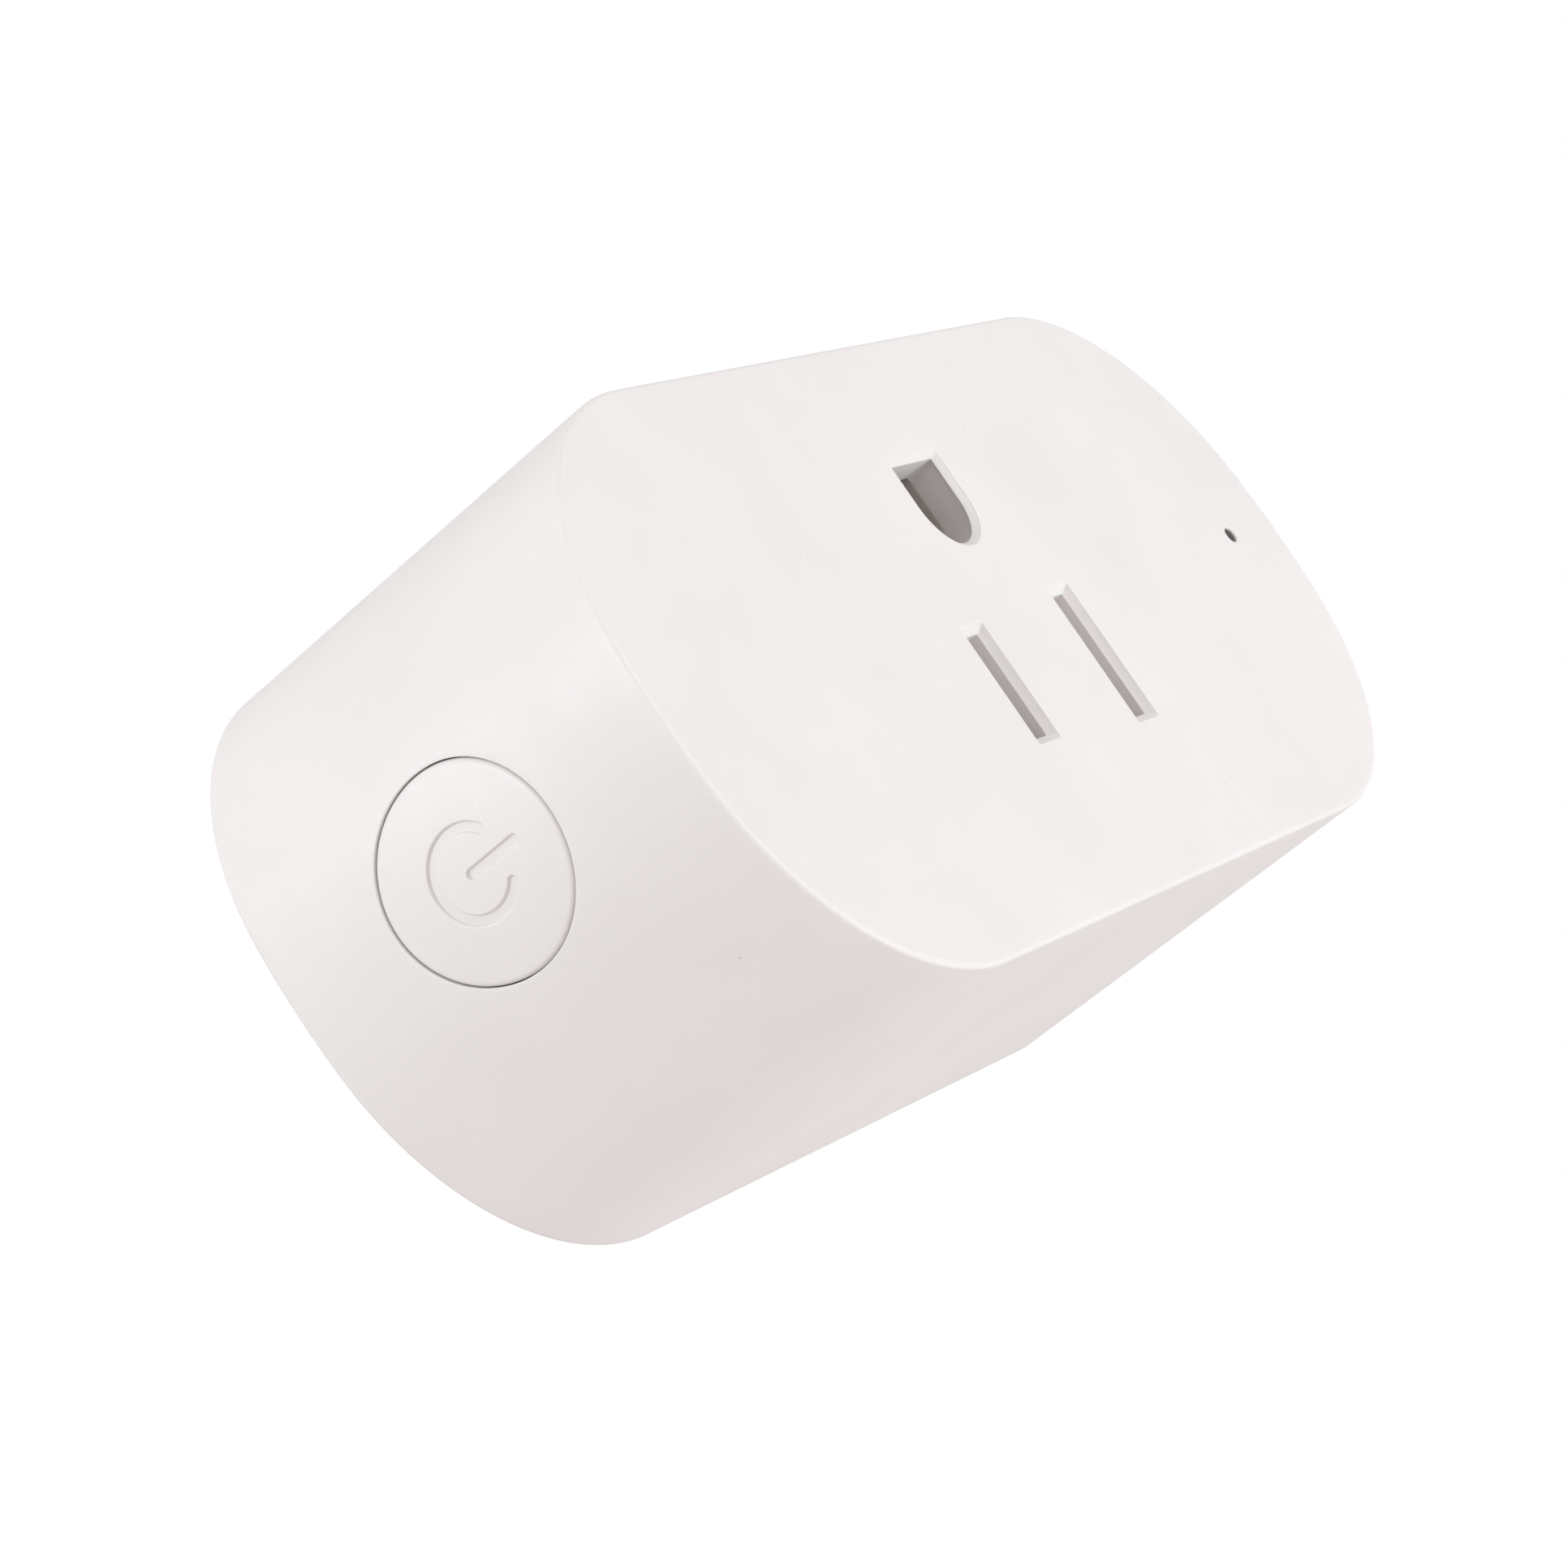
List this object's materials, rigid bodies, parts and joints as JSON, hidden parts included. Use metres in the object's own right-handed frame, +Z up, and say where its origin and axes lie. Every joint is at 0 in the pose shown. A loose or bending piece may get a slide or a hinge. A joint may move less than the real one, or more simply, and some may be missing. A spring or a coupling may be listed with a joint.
{
  "type": "smart plug",
  "caption": "Wall plug with rounded ends, a grounded front receptacle behind a sliding shutter, a round side button, a status light hole, and a relay with circuit boards inside.",
  "frame": {"origin": "centre of the flat rear face, which meets the wall plate", "axes": "+X to the end with the power button, -Y out of the receptacle face towards the room, +Y along the blades into the wall, +Z up with the ground pin below the blades"},
  "size_m": [0.0818, 0.0496, 0.0378],
  "materials": {
    "white_plastic": "fine satin moulded plastic",
    "button_plastic": "fine satin moulded plastic",
    "clear_plastic": "milky clear moulding",
    "carrier_plastic": "flame-retardant moulding",
    "shutter_plastic": "smooth moulding",
    "spring_steel": "drawn spring wire",
    "contact_bronze": "stamped phosphor bronze",
    "blade_brass": "nickel-plated brass",
    "strap_copper": "tinned copper strip",
    "board_laminate": "solder-masked glass laminate",
    "screw_steel": "zinc-plated steel",
    "header_plastic": "black moulding with tinned pins",
    "radio_laminate": "dark solder mask",
    "can_steel": "tin-plated sheet steel",
    "switch_plastic": "black moulding",
    "plunger_plastic": "black moulding",
    "relay_plastic": "black moulding",
    "relay_base_plastic": "dark grey moulding",
    "bobbin_plastic": "ivory moulding",
    "copper_wire": "enamelled copper wire",
    "relay_iron": "nickel-plated soft iron",
    "relay_contact_alloy": "copper alloy with silver rivets",
    "led_resin": "phosphor resin",
    "capacitor_sleeve": "shrunk vinyl sleeve",
    "film_epoxy": "potted plastic case",
    "varistor_lacquer": "dipped lacquer",
    "fuse_ceramic": "ceramic tube with plated caps",
    "ferrite": "sintered ferrite",
    "chip_resin": "black moulding compound"
  },
  "bodies": {
    "plug_body": {"front_housing": "white_plastic", "rear_cover": "white_plastic", "light_pipe": "clear_plastic", "contact_carrier": "carrier_plastic", "shutter_spring": "spring_steel", "line_contact": "contact_bronze", "neutral_contact": "contact_bronze", "ground_contact": "contact_bronze", "line_blade": "blade_brass", "neutral_blade": "blade_brass", "ground_pin": "blade_brass", "neutral_strap": "strap_copper", "line_input_strap": "strap_copper", "line_output_strap": "strap_copper", "main_board": "board_laminate", "board_screws": "screw_steel", "control_board": "board_laminate", "board_header": "header_plastic", "wifi_module": "radio_laminate", "shield_can": "can_steel", "tact_switch_body": "switch_plastic", "relay_case": "relay_plastic", "relay_base": "relay_base_plastic", "relay_bobbin": "bobbin_plastic", "relay_winding": "copper_wire", "relay_yoke": "relay_iron", "relay_fixed_contact": "relay_contact_alloy", "status_led": "led_resin", "bulk_capacitors": "capacitor_sleeve", "output_capacitor": "capacitor_sleeve", "film_capacitor": "film_epoxy", "varistor": "varistor_lacquer", "fuse": "fuse_ceramic", "inductor_core": "ferrite", "inductor_winding": "copper_wire", "bridge_rectifier": "chip_resin", "supply_chip": "chip_resin", "driver_transistor": "chip_resin", "chip_resistors": "chip_resin"},
    "power_button": {"power_button": "button_plastic"},
    "switch_plunger": {"tact_switch_plunger": "plunger_plastic"},
    "shutter": {"safety_shutter": "shutter_plastic"},
    "armature": {"relay_armature": "relay_iron", "relay_moving_contact": "relay_contact_alloy"}
  },
  "joints": [
    {"name": "button_press", "type": "slide", "parent": "plug_body", "child": "power_button", "axis": [-1, 0, 0], "range_m": [0, 0.0005], "stiffness_N_per_m": 600, "springref_m": -0.001},
    {"name": "plunger_press", "type": "slide", "parent": "plug_body", "child": "switch_plunger", "axis": [-1, 0, 0], "range_m": [0, 0.0005]},
    {"name": "shutter_slide", "type": "slide", "parent": "plug_body", "child": "shutter", "axis": [1, 0, 0], "range_m": [0, 0.003], "stiffness_N_per_m": 150, "springref_m": -0.004, "deforming": ["shutter_spring"]},
    {"name": "armature_pull", "type": "hinge", "parent": "plug_body", "child": "armature", "pos_m": [0.0195, -0.0208, 0.0099], "axis": [1, 0, 0], "range_deg": [0, 2.5], "stiffness_Nm_per_rad": 0.01, "springref_deg": -5.73}
  ],
  "couplings": [
    {"joint": "plunger_press", "follows": "button_press", "ratio": 1}
  ]
}
